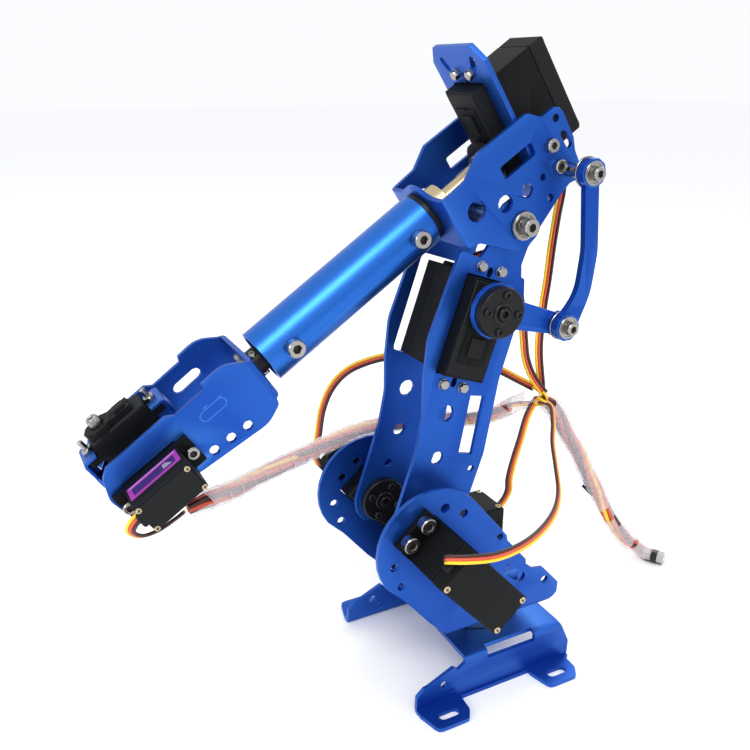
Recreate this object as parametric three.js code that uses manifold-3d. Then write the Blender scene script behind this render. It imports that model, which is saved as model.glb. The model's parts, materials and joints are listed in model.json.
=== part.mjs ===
// Six-axis desktop servo arm: folded aluminium brackets, five standard servos, two micro servos,
// a four-bar elbow drive and a tube forearm. Millimetres, +Z up, +X forward, +Y the left side.
// Everything is drawn about the yaw axis (x = y = 0) and the whole arm is centred at the end.
import * as THREE from "three";
import { mergeVertices } from "three/addons/utils/BufferGeometryUtils.js";
import Module from "manifold-3d";

const wasm = await Module();
wasm.setup();

// ---------------------------------------------------------------- driving dimensions
const SHEET = 2;                        // sheet thickness of the folded brackets
const FIT = 0.3;                        // running gap between neighbouring pieces
const FOLD = 2.5;                       // outside radius of a fold

const STAND = { legY: 35.9, topZ: 21.4, rearX: -27.5, frontX: 25.5, footY: 50 };
const FEET = [{ x: 38.4, from: 27.6, to: 50 }, { x: -20.4, from: -31, to: -9.2 }];
const FOOT_SLOT = { y: 43.8, length: 10, width: 4 };

const TURRET = { sideY: 30.6, floorZ: 31.5, hubHole: 12 };
const SHOULDER = { x: 41, z: 79.8, lobe: 25.8, servoAngle: 47.9, servoBaseY: 60 };
const YAW_SERVO_BASE_Z = 74.5;

const ARM = { sideY: 17.5, length: 134.8, lean: 108.96 };
const ELBOW_SERVO = { s: 100.55, t: -6.1 };
const CRANK_PIVOT = { x: -17.5, z: 167.2 };
const CRANK_Y = 29.7;
const LINK_Y = 34;
const LINK_THICK = 3;

const FOREARM = { sideY: 20.3, tilt: -34, webU: 25, tubeW: 21 };
const LINK_PIVOT = { u: -29, w: 5.1 };
const ROLL_SERVO_FLANGE_U = -19.3;
const TUBE = { radius: 11, bore: 9.5, from: 27.5, length: 80.8, overhang: 2.3 };
const TUBE_SCREWS_U = [36.4, 99.8];

const WRIST = { sideY: 17.3, webU: 6.7, pitchU: 63, pitchW: -0.6 };
const TOOL_SERVO = { u: 62.2, baseW: -3.9 };

// Servo outlines. The servo's own frame has its output axis on Z, its underside at z = 0 and the
// shaft end of the case toward +X.
const STANDARD = {
  length: 40.7, width: 19.7, offset: 10.2, cover: 7.5, flangeZ: 26.6, flangeT: 2.5,
  flangeLength: 54.5, holeSpan: 49.5, holePitch: 10, holeR: 2.2, top: 36.8, bossTop: 38.3,
  bossR: 8.2, shaftR: 3, boreDepth: 3,
};
const MICRO = {
  length: 22.8, width: 12.2, offset: 5.4, cover: 4.4, flangeZ: 15.9, flangeT: 2.5,
  flangeLength: 32.3, holeSpan: 28, holePitch: 0, holeR: 1.1, top: 22.5, bossTop: 25.7,
  bossR: 5.9, shaftR: 2.4, boreDepth: 2,
};

const COLOURS = {
  anodised: [0x1f5fd0, 0.38, 0.85],
  plastic: [0x1c2022, 0.5, 0],
  horn: [0x121416, 0.42, 0.5],
  steel: [0xb9bdc2, 0.28, 1],
  brass: [0xc9a24a, 0.32, 1],
  wrap: [0xe4dcd8, 0.35, 0],
  wires: [0xc2502a, 0.5, 0],
};

// ---------------------------------------------------------------- solids
const V = (x, y, z) => new THREE.Vector3(x, y, z);
const radians = THREE.MathUtils.degToRad;

function toSolid(geometry) {
  const bare = geometry.clone();
  bare.deleteAttribute("normal");
  bare.deleteAttribute("uv");
  const merged = mergeVertices(bare, 1e-4);
  const corners = merged.index.array;
  const kept = [];
  for (let i = 0; i < corners.length; i += 3) {
    const [a, b, c] = corners.slice(i, i + 3);
    if (a !== b && b !== c && c !== a) kept.push(a, b, c);
  }
  return new wasm.Manifold(new wasm.Mesh({
    numProp: 3,
    vertProperties: new Float32Array(merged.attributes.position.array),
    triVerts: new Uint32Array(kept),
  }));
}

function toGeometry(solid) {
  const mesh = solid.getMesh();
  const geometry = new THREE.BufferGeometry();
  geometry.setAttribute("position", new THREE.BufferAttribute(mesh.vertProperties, 3));
  geometry.setIndex(new THREE.BufferAttribute(mesh.triVerts, 1));
  return geometry;
}

const join = (...solids) => solids.reduce((a, b) => a.add(b));
const cut = (body, ...tools) => tools.reduce((a, b) => a.subtract(b), body);

// Facets per round stretch: coarse on small radii, fine on large ones.
const arcStep = (r) => (r < 2.5 ? 45 : r < 6 ? 36 : r < 13 ? 22.5 : 12);
const cornerSteps = (r) => (r <= 3 ? 2 : 4);

// An outline is a list of corners [x, y], rounded corners [x, y, radius] and arcs
// { centre: [x, y], r, from, to } in degrees, drawn in the direction from -> to.
function outline(entries) {
  const arcPoint = (e, angle) => [
    e.centre[0] + e.r * Math.cos(radians(angle)), e.centre[1] + e.r * Math.sin(radians(angle)),
  ];
  const startOf = (e) => (e.centre ? arcPoint(e, e.from) : e);
  const endOf = (e) => (e.centre ? arcPoint(e, e.to) : e);
  const points = entries.flatMap((e, i) => {
    if (e.centre) {
      const steps = Math.max(2, Math.round(Math.abs(e.to - e.from) / arcStep(e.r)));
      const turn = radians(e.to - e.from);
      const arc = new THREE.ArcCurve(e.centre[0], e.centre[1], e.r, radians(e.from),
        radians(e.from) + turn, turn < 0);
      return arc.getPoints(steps);
    }
    const corner = new THREE.Vector2(e[0], e[1]);
    if (!e[2]) return [corner];
    const before = new THREE.Vector2(...endOf(entries.at(i - 1))).sub(corner);
    const after = new THREE.Vector2(...startOf(entries[(i + 1) % entries.length])).sub(corner);
    const half = Math.acos(before.dot(after) / before.length() / after.length()) / 2;
    const reach = Math.min(e[2] / Math.tan(half), before.length() * 0.49, after.length() * 0.49);
    const bend = new THREE.QuadraticBezierCurve(
      before.setLength(reach).add(corner), corner, after.setLength(reach).add(corner));
    return bend.getPoints(cornerSteps(e[2]));
  });
  return new THREE.Shape(points);
}

const circle = (x, y, r) => outline([{ centre: [x, y], r, from: 0, to: 360 }]);

// A slot with round ends: centre, overall length, width and direction in degrees.
function slot(x, y, length, width, angle = 0) {
  const half = (length - width) / 2;
  const dx = half * Math.cos(radians(angle));
  const dy = half * Math.sin(radians(angle));
  return outline([
    { centre: [x + dx, y + dy], r: width / 2, from: angle - 90, to: angle + 90 },
    { centre: [x - dx, y - dy], r: width / 2, from: angle + 90, to: angle + 270 },
  ]);
}

// A rectangle given by its centre, size and direction.
function rectangle(x, y, length, width, angle = 0, round = 0) {
  const c = Math.cos(radians(angle));
  const s = Math.sin(radians(angle));
  return outline([[1, 1], [-1, 1], [-1, -1], [1, -1]].map(([i, j]) => [
    x + i * length / 2 * c - j * width / 2 * s,
    y + i * length / 2 * s + j * width / 2 * c,
    round,
  ]));
}

// Extrusions of an outline drawn in XZ (depth along Y), YZ (depth along X) and XY (depth along Z).
function extrude(shape, depth, basis, shift) {
  const geometry = new THREE.ExtrudeGeometry(shape, { depth, bevelEnabled: false });
  geometry.applyMatrix4(new THREE.Matrix4().makeBasis(...basis));
  geometry.translate(...shift);
  return toSolid(geometry);
}
const AXES = { x: V(1, 0, 0), y: V(0, 1, 0), z: V(0, 0, 1) };
const sideways = (shape, y0, y1) =>
  extrude(shape, y1 - y0, [AXES.x, AXES.z, V(0, -1, 0)], [0, y1, 0]);
const lengthways = (shape, x0, x1) =>
  extrude(shape, x1 - x0, [AXES.y, AXES.z, AXES.x], [x0, 0, 0]);
const upright = (shape, z0, z1) =>
  extrude(shape, z1 - z0, [AXES.x, AXES.y, AXES.z], [0, 0, z0]);

function box(x0, x1, y0, y1, z0, z1) {
  const geometry = new THREE.BoxGeometry(x1 - x0, y1 - y0, z1 - z0);
  geometry.translate((x0 + x1) / 2, (y0 + y1) / 2, (z0 + z1) / 2);
  return toSolid(geometry);
}

// A turned piece about Z: [radius, height] pairs from bottom to top, from the axis back to it, or
// a ring when the first and last pair are the same.
function turned(profile, segments = 24) {
  const geometry = new THREE.LatheGeometry(
    profile.map(([r, h]) => new THREE.Vector2(r, h)), segments);
  return toSolid(geometry.rotateX(Math.PI / 2));
}
const ring = (inner, outer, h0, h1, segments) => turned(
  [[inner, h0], [outer, h0], [outer, h1], [inner, h1], [inner, h0]], segments);

// ---------------------------------------------------------------- scene graph helpers
const robot = new THREE.Group();

function finish(kind) {
  const [color, roughness, metalness] = COLOURS[kind];
  return new THREE.MeshStandardMaterial({ color, roughness, metalness });
}

function add(parent, name, solid, kind) {
  const mesh = new THREE.Mesh(toGeometry(solid), finish(kind));
  mesh.name = name;
  parent.add(mesh);
  return mesh;
}

// A group whose local X and Z axes point along the given directions.
function frame(parent, origin, xAxis = AXES.x, zAxis = AXES.z) {
  const group = new THREE.Group();
  const x = xAxis.clone().normalize();
  const z = zAxis.clone().normalize();
  const y = z.clone().cross(x);
  group.position.copy(origin);
  group.quaternion.setFromRotationMatrix(new THREE.Matrix4().makeBasis(x, y, z));
  parent.add(group);
  return group;
}
const inSide = (angle) => V(Math.cos(radians(angle)), 0, Math.sin(radians(angle)));

// ---------------------------------------------------------------- servos
function servoCase(size) {
  const middle = -size.offset;
  const body = upright(rectangle(middle, 0, size.length, size.width), size.cover, size.top);
  const flange = upright(rectangle(middle, 0, size.flangeLength, size.width),
    size.flangeZ, size.flangeZ + size.flangeT);
  const farEnd = middle - size.length / 2;
  const platform = upright(rectangle(farEnd * 0.42, 0, -farEnd * 0.72, size.width * 0.66),
    size.top - 1, size.bossTop - 0.3);
  const boss = upright(circle(0, 0, size.bossR), size.top - 1, size.bossTop);
  const rows = size.holePitch ? [-size.holePitch / 2, size.holePitch / 2] : [0];
  const holes = [-1, 1].flatMap((end) => rows.map((y) => upright(
    circle(middle + end * size.holeSpan / 2, y, size.holeR),
    size.flangeZ - 1, size.flangeZ + size.flangeT + 1)));
  const bore = upright(
    circle(0, 0, size.shaftR + 0.4), size.bossTop - size.boreDepth, size.bossTop + 1);
  return cut(join(body, flange, platform, boss), ...holes, bore);
}

function servoCover(size) {
  const middle = -size.offset;
  const pan = upright(rectangle(middle, 0, size.length, size.width), 0.8, size.cover - FIT);
  const face = upright(rectangle(middle, 0, size.length - 1, size.width - 1), 0, 1);
  return join(pan, face);
}

function addServo(parent, name, size) {
  add(parent, `${name}_servo_case`, servoCase(size), "plastic");
  add(parent, `${name}_servo_cover`, servoCover(size), "plastic");
}

// ---------------------------------------------------------------- stand (fixed base)
function standBracket() {
  const { legY, topZ, footY } = STAND;
  const inner = legY - SHEET;
  const half = (s) => [
    [s * footY, 0], [s * inner, 0, FOLD], [s * inner, topZ - SHEET],
  ];
  const outer = (s) => [
    [s * footY, SHEET], [s * legY, SHEET], [s * legY, topZ, FOLD],
  ];
  const folded = lengthways(outline([
    ...half(1), ...half(-1).reverse(), ...outer(-1), ...outer(1).reverse(),
  ]), -36, 54);
  const legSide = sideways(outline([
    [-32.6, -1], [-33, 9.5], [-28.4, 19.5], [STAND.rearX, 21], [STAND.rearX, 23],
    [STAND.frontX, 23], [STAND.frontX, 18.2], [28.8, 15.9], [31.4, 17.9], [44.6, 12.2],
    [46.2, 12], [50, 8.8, 2], [50.2, -1],
  ]), -legY - 1, legY + 1);
  const soles = FEET.flatMap(({ from, to }) => [1, -1].map((s) => upright(outline([
    [from, s * (inner - 1)], [from + 0.8, s * (footY - 5), 3], [from + 4, s * footY, 2],
    [to - 3, s * footY, 3], [to, s * (inner + 5), 1], [to, s * (inner - 1)],
  ]), -1, SHEET + 1)));
  const footSlots = FEET.flatMap(({ x }) => [1, -1].map((s) => upright(
    slot(x, s * FOOT_SLOT.y, FOOT_SLOT.length, FOOT_SLOT.width), -1, SHEET + 1)));
  const foldSlots = [1, -1].map((s) => box(-12.5, 13.5,
    ...[s * (inner - 1.6), s * (legY + 1)].sort((a, b) => a - b), topZ - 4.7, topZ + 0.3));
  const legHoles = [[36.3, 10.6, 1.9], [32.1, 6.3, 1]].map(([x, z, r]) =>
    sideways(circle(x, z, r), -legY - 1, legY + 1));
  const hubHole = upright(circle(0, 0, 2.2), 10, topZ + 1);
  return cut(folded.intersect(join(legSide, ...soles)),
    ...footSlots, ...foldSlots, ...legHoles, hubHole);
}

const ringZ = STAND.topZ + FIT;
const ringSplit = 26.3;
add(robot, "stand_bracket", standBracket(), "anodised");
add(robot, "turntable_lower_ring", ring(15, 24, ringZ, ringSplit), "steel");
add(robot, "yaw_hub", turned([
  [0, ringZ], [12, ringZ], [12, 24], [7, 24], [7, 32], [10.5, 32], [10.5, 34.6],
  [STANDARD.shaftR, 34.6], [STANDARD.shaftR, 38.6], [0, 38.6],
], 16), "horn");

// ---------------------------------------------------------------- turret (yaw body)
function turretBracket() {
  const { sideY, floorZ, hubHole } = TURRET;
  const inner = sideY - SHEET;
  const channel = lengthways(outline([
    [sideY, floorZ, FOLD], [sideY, 110], [inner, 110], [inner, floorZ + SHEET],
    [-inner, floorZ + SHEET], [-inner, 110], [-sideY, 110], [-sideY, floorZ, FOLD],
  ]), -32, 70);
  const side = sideways(outline([
    [-17.6, floorZ - 1], [-24.3, 32.2], [-27.8, 35.5], [-28, 40.8], [-18.6, 51.4],
    [-13.1, 52.4], [-8.6, 56.2], [-8.2, 59], [2.6, 71.7], [3.2, 74.5],
    { centre: [SHOULDER.x, SHOULDER.z], r: SHOULDER.lobe, from: 138, to: -35 },
    [54.4, 57.5], [41.5, 41.7], [34.3, 34.2], [30, floorZ - 1],
  ]), -sideY - 1, sideY + 1);
  const tilt = radians(SHOULDER.servoAngle);
  const servoX = SHOULDER.x - STANDARD.offset * Math.cos(tilt);
  const servoZ = SHOULDER.z - STANDARD.offset * Math.sin(tilt);
  const window = rectangle(servoX, servoZ, STANDARD.length + 0.8, STANDARD.width + 0.8,
    SHOULDER.servoAngle);
  const holes = [
    [26.2, 91.3, 2], [35.5, 96.2, 2.2], [6.9, 74.6, 1.7], [59, 74.7, 1.9], [55.5, 64.6, 1.9],
    [-19.8, 44.7, 1.9],
  ].map(([x, z, r]) => circle(x, z, r));
  const flangeHoles = [-1, 1].flatMap((end) => [-5, 5].map((across) => {
    const reach = end * STANDARD.holeSpan / 2;
    return circle(servoX + reach * Math.cos(tilt) - across * Math.sin(tilt),
      servoZ + reach * Math.sin(tilt) + across * Math.cos(tilt), 1.9);
  }));
  const openings = [window, ...holes, ...flangeHoles, slot(-2.3, 53.4, 14.5, 5, 41)]
    .map((shape) => sideways(shape, -sideY - 1, sideY + 1));
  const hub = upright(circle(0, 0, hubHole), floorZ - 1, floorZ + SHEET + 1);
  return cut(channel.intersect(side), ...openings, hub);
}

// The plate that carries the yaw servo: it spans the turret and folds up against both sides.
function yawServoBridge() {
  const top = YAW_SERVO_BASE_Z - STANDARD.flangeZ - STANDARD.flangeT - FIT;
  const outer = TURRET.sideY - SHEET - FIT;
  const channel = lengthways(outline([
    [outer, top - SHEET, FOLD], [outer, top + 7], [outer - SHEET, top + 7],
    [outer - SHEET, top], [SHEET - outer, top], [SHEET - outer, top + 7],
    [-outer, top + 7], [-outer, top - SHEET, FOLD],
  ]), -20, 40);
  const plan = upright(outline([
    [-18, -12, 3], [-8, -12], [-6, -30], [20, -30], [22, -12], [39, -12, 3], [39, 12, 3],
    [22, 12], [20, 30], [-6, 30], [-8, 12], [-18, 12, 3],
  ]), top - 4, top + 9);
  const window = box(-STANDARD.length / 2 + 9.8, STANDARD.length / 2 + 10.6,
    -STANDARD.width / 2 - 0.4, STANDARD.width / 2 + 0.4, top - 4, top + 3);
  return cut(channel.intersect(plan), window);
}

const turret = new THREE.Group();
robot.add(turret);
add(turret, "turret_bracket", turretBracket(), "anodised");
add(turret, "turntable_upper_ring",
  ring(15, 23, ringSplit + FIT, TURRET.floorZ - FIT), "steel");
add(turret, "yaw_servo_bridge", yawServoBridge(), "anodised");
addServo(frame(turret, V(0, 0, YAW_SERVO_BASE_Z), V(-1, 0, 0), V(0, 0, -1)), "yaw", STANDARD);
for (const [name, s] of [["shoulder_left", 1], ["shoulder_right", -1]]) {
  const seat = frame(turret, V(SHOULDER.x, s * SHOULDER.servoBaseY, SHOULDER.z),
    inSide(SHOULDER.servoAngle), V(0, -s, 0));
  addServo(seat, name, STANDARD);
}

// ---------------------------------------------------------------- upper arm
// Arm frame: X runs from the shoulder axis to the elbow axis, Z toward the rear of the arm.
const arm = frame(turret, V(SHOULDER.x, 0, SHOULDER.z), inSide(ARM.lean), inSide(ARM.lean + 90));
const ELBOW_BOLT_R = 2;

function armPlate(s, details) {
  const shape = outline([
    { centre: [0, 0], r: 13, from: 200, to: 270 }, [20, -12.9], [34, -13], [50, -15.2, 20],
    [66, -20.6, 20], [82, -24.3, 20], [100, -23.4, 20], [119, -22.6, 1.5], [118, -12.5, 2],
    { centre: [ARM.length, 0], r: 11, from: 235, to: 450 }, [127.6, 8.2], [120, 7.9],
    [115.3, 9.9], [114.8, 11.8], [106, 15.2, 6], [72, 16, 20], [39, 21.1, 20],
    [19, 21, 12], [-2, 15, 12],
  ]);
  shape.holes.push(
    circle(0, 0, 4), circle(ARM.length, 0, ELBOW_BOLT_R + FIT), circle(53.4, -4.8, 3.7),
    circle(33.8, -2, 3), circle(31, 17.1, 1.6),
    outline([[62.8, 4.4], [63.6, 11.2], [37.7, 14.9], [37.1, 8]]), ...details);
  const outer = s * ARM.sideY;
  return sideways(shape, Math.min(outer, outer - s * SHEET), Math.max(outer, outer - s * SHEET));
}

const elbowMiddle = ELBOW_SERVO.s - STANDARD.offset;
add(arm, "upper_arm_plate_left", armPlate(1, [
  rectangle(elbowMiddle, ELBOW_SERVO.t, STANDARD.length + 0.8, STANDARD.width + 0.8),
  ...[-1, 1].flatMap((end) => [-5, 5].map((across) => circle(
    elbowMiddle + end * STANDARD.holeSpan / 2, ELBOW_SERVO.t + across, 1.5))),
  ...[-1, 1].map((end) => slot(elbowMiddle + end * 23.2, ELBOW_SERVO.t, 4.2, 2.4)),
]), "anodised");
add(arm, "upper_arm_plate_right", armPlate(-1, [
  rectangle(elbowMiddle + 0.6, ELBOW_SERVO.t - 0.6, STANDARD.length + 3, STANDARD.width + 3,
    0, 2),
  circle(17.3, -2.2, 2),
]), "anodised");

// Disc horns: the disc on the plate's inner face, the shaft reaching into the servo's boss.
const shaftEnd = SHOULDER.servoBaseY - STANDARD.bossTop + STANDARD.boreDepth - 0.6;
const hornFace = ARM.sideY - SHEET - FIT;
for (const [name, s] of [["left", 1], ["right", -1]]) {
  const horn = turned([
    [0, hornFace - 2.8], [10, hornFace - 2.8], [10.5, hornFace - 2.3], [10.5, hornFace],
    [3.6, hornFace], [3.6, ARM.sideY + 1], [STANDARD.shaftR, ARM.sideY + 1],
    [STANDARD.shaftR, shaftEnd], [0, shaftEnd],
  ], 20);
  const seat = frame(arm, V(0, 0, 0), AXES.x, V(0, s, 0));
  add(seat, `shoulder_horn_${name}`, horn, "horn");
}

const elbowBaseY = ARM.sideY - SHEET - FIT - STANDARD.flangeZ - STANDARD.flangeT;
addServo(frame(arm, V(ELBOW_SERVO.s, elbowBaseY, ELBOW_SERVO.t), AXES.x, AXES.y),
  "elbow", STANDARD);

const elbowFrame = frame(arm, V(ARM.length, 0, 0), AXES.x, AXES.y);
add(elbowFrame, "elbow_spacer",
  ring(ELBOW_BOLT_R + FIT, 4, SHEET + FIT - ARM.sideY, ARM.sideY - SHEET - FIT, 16), "steel");
add(elbowFrame, "elbow_pivot_bolt", turned([
  [0, -26], [3.7, -26], [3.7, -22.6], [ELBOW_BOLT_R, -22.6], [ELBOW_BOLT_R, 22.6],
  [3.5, 22.6], [3.5, 26.6], [0, 26.6],
], 16), "steel");

// ---------------------------------------------------------------- elbow crank and link
arm.updateWorldMatrix(true, false);
const elbowAxis = arm.localToWorld(V(ELBOW_SERVO.s, 0, ELBOW_SERVO.t));
const crankReach = Math.hypot(CRANK_PIVOT.x - elbowAxis.x, CRANK_PIVOT.z - elbowAxis.z);
const crankAngle = Math.atan2(CRANK_PIVOT.z - elbowAxis.z, CRANK_PIVOT.x - elbowAxis.x);
const crank = frame(turret, V(elbowAxis.x, 0, elbowAxis.z),
  inSide(THREE.MathUtils.radToDeg(crankAngle)),
  inSide(THREE.MathUtils.radToDeg(crankAngle) + 90));
const PIN_R = 1.5;

const crankPlate = [
  circle(0, 0, 11.2), circle(crankReach, 0, 5.6), outline([
    [0, 6.4], [0, -6.4], [crankReach, -4.3], [crankReach, 4.3],
  ])].map((shape) => sideways(shape, CRANK_Y - 2.5, CRANK_Y));
add(crank, "crank_arm", cut(join(...crankPlate),
  sideways(circle(0, 0, 3.8), CRANK_Y - 4, CRANK_Y + 1),
  sideways(circle(crankReach, 0, PIN_R + FIT), CRANK_Y - 4, CRANK_Y + 1)), "anodised");
const crankShaft = elbowBaseY + STANDARD.bossTop - STANDARD.boreDepth + 0.6;
add(frame(crank, V(0, 0, 0), AXES.x, AXES.y), "elbow_horn", turned([
  [0, crankShaft], [STANDARD.shaftR, crankShaft], [STANDARD.shaftR, CRANK_Y + FIT],
  [10.3, CRANK_Y + FIT], [10.3, CRANK_Y + 3.3], [9.8, CRANK_Y + 3.8], [0, CRANK_Y + 3.8],
]), "horn");
// A socket-head pivot bolt: nut behind, plain pin, head in front.
const pivotBolt = (nut0, nut1, head0, head1) => turned([
  [0, nut0], [2.9, nut0], [2.9, nut1], [PIN_R, nut1], [PIN_R, head0], [2.75, head0],
  [2.75, head1], [0, head1],
], 12);
const linkHead = LINK_Y + 1.2;
add(frame(crank, V(crankReach, 0, 0), AXES.x, AXES.y), "crank_pivot_bolt",
  pivotBolt(CRANK_Y - 5, CRANK_Y - 2.8, linkHead, linkHead + 3), "steel");

const elbow = arm.localToWorld(V(ARM.length, 0, 0));
const forearm = frame(turret, elbow, inSide(FOREARM.tilt), inSide(FOREARM.tilt + 90));
forearm.updateWorldMatrix(true, false);
const linkTop = forearm.localToWorld(V(LINK_PIVOT.u, 0, LINK_PIVOT.w));
const LINK_EYE = 5.8;
const bar = outline([
  [linkTop.x + 3.3, linkTop.z - 3], [linkTop.x - 3.3, linkTop.z - 3], [-30, 196.7, 30],
  [-28.1, 179.8, 30], [CRANK_PIVOT.x - 4.6, CRANK_PIVOT.z - 1], [CRANK_PIVOT.x + 3, 172],
  [-21.6, 180.6, 30], [-23.3, 197.4, 30],
]);
const linkBody = [
  sideways(bar, LINK_Y - LINK_THICK, LINK_Y),
  ...[CRANK_PIVOT, linkTop].map((p) =>
    sideways(circle(p.x, p.z, LINK_EYE), LINK_Y - LINK_THICK, LINK_Y + 0.6))];
add(turret, "link_rod", cut(join(...linkBody),
  sideways(circle(CRANK_PIVOT.x, CRANK_PIVOT.z, PIN_R + FIT), LINK_Y - 5, LINK_Y + 2),
  sideways(circle(linkTop.x, linkTop.z, 4.2), LINK_Y - 5, LINK_Y + 2)), "anodised");

// ---------------------------------------------------------------- forearm
// Forearm frame: X (u) runs down the tube, Z (w) away from it, origin on the elbow axis.
function forearmBracket() {
  const { sideY, webU, tubeW } = FOREARM;
  const inner = sideY - SHEET;
  const channel = upright(outline([
    [webU, sideY, FOLD], [-45, sideY], [-45, inner], [webU - SHEET, inner],
    [webU - SHEET, -inner], [-45, -inner], [-45, -sideY], [webU, -sideY, FOLD],
  ]), -14, 40);
  const side = sideways(outline([
    [webU + 1, 8.6], [webU + 1, 30.4], [12.1, 31, 2], [3, 36.2, 2], [-22.5, 35.8, 3],
    [-27.1, 30.6, 2], { centre: [-32.6, 26.6], r: 4, from: 75, to: 180 }, [-36.4, 15],
    [-34.6, 10, 3], { centre: [LINK_PIVOT.u, LINK_PIVOT.w], r: 5.4, from: 170, to: 300 },
    [-20.2, -1, 6], { centre: [0, 0], r: 8.6, from: 222, to: 300 }, [7.4, -7, 2],
    [19.4, 6.7],
  ].reverse().map((e) => (e.centre ? { ...e, from: e.to, to: e.from } : e))),
  -sideY - 1, sideY + 1);
  const hump = lengthways(outline([
    [-15, 26], [15, 26], [13, 30], { centre: [0, tubeW], r: 13.4, from: 52, to: 128 }, [-13, 30],
  ]), webU - SHEET, webU);
  const openings = [
    rectangle(-10.5, 23, 16.4, 5.4, 1, 1), circle(14.3, 18.2, 4.2), circle(2.3, 12.4, 3.5),
    circle(-8.4, 10.5, 2.8), circle(-17, 10.5, 1.5), circle(-16.1, 1.3, 1.8),
    circle(-32.6, 26.4, 1.6), slot(-33, 16.6, 8, 2.8, 86), circle(0, 0, 4.8),
    circle(LINK_PIVOT.u, LINK_PIVOT.w, PIN_R + FIT), circle(-25.6, 19, 1.6),
    circle(-24.9, 9.8, 1.6),
  ].map((shape) => sideways(shape, -sideY - 1, sideY + 1));
  const tubeHole = lengthways(circle(0, tubeW, 8.7), webU - 4, webU + 2);
  return cut(join(channel.intersect(side), hump), ...openings, tubeHole);
}

const rollBackU = ROLL_SERVO_FLANGE_U + FIT;
const rollMiddleW = FOREARM.tubeW + STANDARD.offset;
function rollServoPlate() {
  const face = lengthways(outline([
    [-17.9, -2, 2], [17.9, -2, 2], [17.9, 61, 1], [12.9, 67.5, 1], [-12.9, 67.5, 1],
    [-17.9, 61, 1],
  ]), rollBackU, rollBackU + SHEET);
  const tabs = [1, -1].map((s) => sideways(outline([
    [rollBackU + 1, 3], [rollBackU + 1, 25], [rollBackU - 9.5, 24, 3], [rollBackU - 9.5, 10.5],
    [rollBackU - 3.5, 3],
  ]), Math.min(s * 17.9, s * 15.9), Math.max(s * 17.9, s * 15.9)));
  const window = lengthways(rectangle(0, rollMiddleW, STANDARD.width + 0.8,
    STANDARD.length + 0.8), rollBackU - 1, rollBackU + 3);
  const holes = [-1, 1].flatMap((s) => [
    lengthways(slot(s * 9.5, 60, 6.4, 3, 90 - s * 25), rollBackU - 1, rollBackU + 3),
    ...[-1, 1].map((end) => lengthways(circle(s * 5, rollMiddleW + end * 24.75, 1.7),
      rollBackU - 1, rollBackU + 3)),
    sideways(circle(-25.6, 19, 1.6), Math.min(s * 15, s * 19), Math.max(s * 15, s * 19)),
    sideways(circle(-24.9, 9.8, 1.6), Math.min(s * 15, s * 19), Math.max(s * 15, s * 19)),
  ]);
  const keyhole = lengthways(slot(0, rollMiddleW + 22.6, 5, 2.2, 90), rollBackU - 1, rollBackU + 3);
  return cut(join(face, ...tabs), window, ...holes, keyhole);
}

add(forearm, "forearm_bracket", forearmBracket(), "anodised");
for (const [name, s] of [["left", 1], ["right", -1]]) {
  const seat = frame(forearm, V(0, 0, 0), AXES.x, V(0, s, 0));
  add(seat, `elbow_bearing_${name}`, turned([
    [2.4, 18], [4.5, 18], [4.5, 20.6], [5.8, 20.6], [5.8, 21.6], [2.4, 21.6], [2.4, 18],
  ], 16), "steel");
}
const linkBoltSeat = frame(forearm, V(LINK_PIVOT.u, 0, LINK_PIVOT.w), AXES.x, AXES.y);
add(linkBoltSeat, "link_pivot_bolt", turned([
  [0, 15.4], [2.9, 15.4], [2.9, 18], [PIN_R, 18], [PIN_R, 20.6], [3, 20.6], [3, 30.2],
  [PIN_R, 30.2], [PIN_R, linkHead], [2.75, linkHead], [2.75, linkHead + 3], [0, linkHead + 3],
], 12), "steel");
add(forearm, "roll_servo_plate", rollServoPlate(), "anodised");
const rollBaseU = ROLL_SERVO_FLANGE_U - STANDARD.flangeZ - STANDARD.flangeT;
addServo(frame(forearm, V(rollBaseU, 0, FOREARM.tubeW), V(0, 0, -1), AXES.x), "roll", STANDARD);
const tubeAxis = frame(forearm, V(0, 0, FOREARM.tubeW), V(0, 0, -1), AXES.x);
add(tubeAxis, "tube_bearing",
  ring(8.8, 10.6, FOREARM.webU + FIT, TUBE.from - FIT), "horn");

// ---------------------------------------------------------------- forearm roll body
const rollBoss = rollBaseU + STANDARD.bossTop;
add(tubeAxis, "roll_horn", turned([
  [0, rollBoss - STANDARD.boreDepth + 0.6], [STANDARD.shaftR, rollBoss - STANDARD.boreDepth + 0.6],
  [STANDARD.shaftR, rollBoss + 0.4], [10, rollBoss + 0.4], [10, rollBoss + 3],
  [0, rollBoss + 3],
], 20), "horn");
add(tubeAxis, "tube_drive_shaft", turned([
  [0, rollBoss + 3.3], [6, rollBoss + 3.3], [6, rollBoss + 6], [4, rollBoss + 6], [4, 16],
  [8.2, 16], [8.2, TUBE.from + 0.6], [TUBE.bore - FIT, TUBE.from + 0.6],
  [TUBE.bore - FIT, TUBE.from + 15], [0, TUBE.from + 15],
], 16), "brass");
const tubeEnd = TUBE.from + TUBE.length;
const tubeWall = ring(TUBE.bore, TUBE.radius, TUBE.from, tubeEnd + TUBE.overhang);
const screwHoles = TUBE_SCREWS_U.map((u) => sideways(circle(0, u, 2.3), 5, 15));
add(tubeAxis, "forearm_tube", cut(tubeWall, ...screwHoles), "anodised");
TUBE_SCREWS_U.forEach((u, i) => {
  const seat = frame(tubeAxis, V(0, 0, u), AXES.x, AXES.y);
  add(seat, `tube_screw_${i + 1}`, turned([
    [0, TUBE.bore + 0.1], [1.9, TUBE.bore + 0.1], [1.9, TUBE.radius + FIT],
    [3.5, TUBE.radius + FIT], [3.5, TUBE.radius + 4.2], [0, TUBE.radius + 4.2],
  ], 16), "steel");
});

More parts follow.
